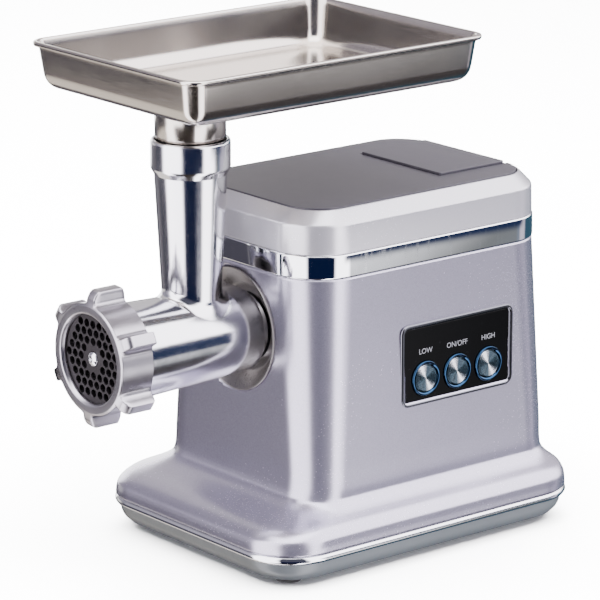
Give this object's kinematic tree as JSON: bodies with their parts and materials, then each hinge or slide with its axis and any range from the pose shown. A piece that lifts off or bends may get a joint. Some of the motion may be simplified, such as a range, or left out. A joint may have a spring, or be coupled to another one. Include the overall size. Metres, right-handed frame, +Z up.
{
  "type": "electric meat grinder",
  "caption": "Upright motor housing on a flared base, with a cast grinding head, a feed tube and tray in front, and a push-button panel on one side.",
  "frame": {"origin": "centre of the whole object's box in X and Y, on the surface under the feet", "axes": "+Z up, the grinding head points to -Y, the control panel faces +X"},
  "size_m": [0.218, 0.3662, 0.366],
  "materials": {
    "body_paint": "metallic lilac-silver paint",
    "cap_paint": "metallic lilac-silver paint",
    "chrome_trim": "mirror plated",
    "deck_plastic": "satin dark grey-violet",
    "base_plastic": "satin grey",
    "foot_rubber": "matt black",
    "dark_plastic": "satin black",
    "steel": "machined",
    "brushed_steel": "brushed stainless",
    "cast_aluminium": "polished casting",
    "nylon": "natural nylon",
    "winding": "laminated steel and copper winding",
    "gloss_panel": "gloss black",
    "circuit_board": "green solder resist"
  },
  "bodies": {
    "chassis": {"body_shell": "body_paint", "trim_band": "chrome_trim", "top_cap": "cap_paint", "top_deck": "deck_plastic", "compartment_tub": "dark_plastic", "lid_hinge_pin": "steel", "base_trim_strip": "chrome_trim", "base_tub": "base_plastic", "foot_front_left": "foot_rubber", "foot_front_right": "foot_rubber", "foot_back_left": "foot_rubber", "foot_back_right": "foot_rubber", "cord_gland": "dark_plastic", "head_socket_ring": "brushed_steel", "gearbox_housing": "dark_plastic", "gearbox_cover": "dark_plastic", "output_bush_front": "nylon", "output_bush_back": "nylon", "idler_pin": "steel", "motor_can": "steel", "motor_end_plate": "steel", "motor_cradle": "dark_plastic", "panel_bezel": "chrome_trim", "control_panel": "gloss_panel", "button_ring_low": "chrome_trim", "button_ring_power": "chrome_trim", "button_ring_high": "chrome_trim", "switch_low": "dark_plastic", "switch_power": "dark_plastic", "switch_high": "dark_plastic", "control_board": "circuit_board"},
    "compartment_lid": {"compartment_lid": "deck_plastic"},
    "head": {"head_casting": "cast_aluminium", "auger_bush": "nylon"},
    "feed_tray": {"feed_tray": "brushed_steel"},
    "auger": {"auger": "cast_aluminium", "cutter_knife": "steel"},
    "cutting_plate": {"cutting_plate": "steel"},
    "ring_nut": {"ring_nut": "cast_aluminium"},
    "output_drive": {"output_gear": "steel", "output_shaft": "steel"},
    "idler": {"idler_gear": "nylon"},
    "motor_rotor": {"motor_armature": "winding", "motor_pinion": "steel", "motor_fan": "nylon"},
    "button_low": {"button_low": "brushed_steel"},
    "button_power": {"button_power": "brushed_steel"},
    "button_high": {"button_high": "brushed_steel"}
  },
  "joints": [
    {"name": "lid_open", "type": "hinge", "parent": "chassis", "child": "compartment_lid", "pos_m": [0, 0.15315, 0.2546], "axis": [-1, 0, 0], "range_deg": [0, 100]},
    {"name": "head_release", "type": "slide", "parent": "chassis", "child": "head", "axis": [0, -1, 0], "range_m": [0, 0.06]},
    {"name": "tray_lift", "type": "slide", "parent": "head", "child": "feed_tray", "axis": [0, 0, 1], "range_m": [0, 0.06]},
    {"name": "plate_travel", "type": "slide", "parent": "head", "child": "cutting_plate", "axis": [0, -1, 0], "range_m": [0, 0.0121]},
    {"name": "nut_turn", "type": "hinge", "parent": "cutting_plate", "child": "ring_nut", "pos_m": [0, -0.16915, 0.161], "axis": [0, -1, 0], "range_deg": [0, 1080]},
    {"name": "output_spin", "type": "hinge", "parent": "chassis", "child": "output_drive", "pos_m": [0, -0.02415, 0.161], "axis": [0, 1, 0], "continuous": true},
    {"name": "auger_spin", "type": "hinge", "parent": "head", "child": "auger", "pos_m": [0, -0.10915, 0.161], "axis": [0, 1, 0], "continuous": true},
    {"name": "idler_spin", "type": "hinge", "parent": "chassis", "child": "idler", "pos_m": [0, -0.01915, 0.096], "axis": [0, 1, 0], "continuous": true},
    {"name": "motor_spin", "type": "hinge", "parent": "chassis", "child": "motor_rotor", "pos_m": [0, 0.04085, 0.06], "axis": [0, 1, 0], "continuous": true},
    {"name": "press_low", "type": "slide", "parent": "chassis", "child": "button_low", "axis": [-1, 0, 0], "range_m": [0, 0.002], "stiffness_N_per_m": 600},
    {"name": "press_power", "type": "slide", "parent": "chassis", "child": "button_power", "axis": [-1, 0, 0], "range_m": [0, 0.002], "stiffness_N_per_m": 600},
    {"name": "press_high", "type": "slide", "parent": "chassis", "child": "button_high", "axis": [-1, 0, 0], "range_m": [0, 0.002], "stiffness_N_per_m": 600}
  ],
  "couplings": [
    {"joint": "plate_travel", "follows": "nut_turn", "m_per_rad": 0.000636},
    {"joint": "auger_spin", "follows": "output_spin", "ratio": 1},
    {"joint": "idler_spin", "follows": "output_spin", "ratio": -4.2},
    {"joint": "motor_spin", "follows": "output_spin", "ratio": 21}
  ]
}
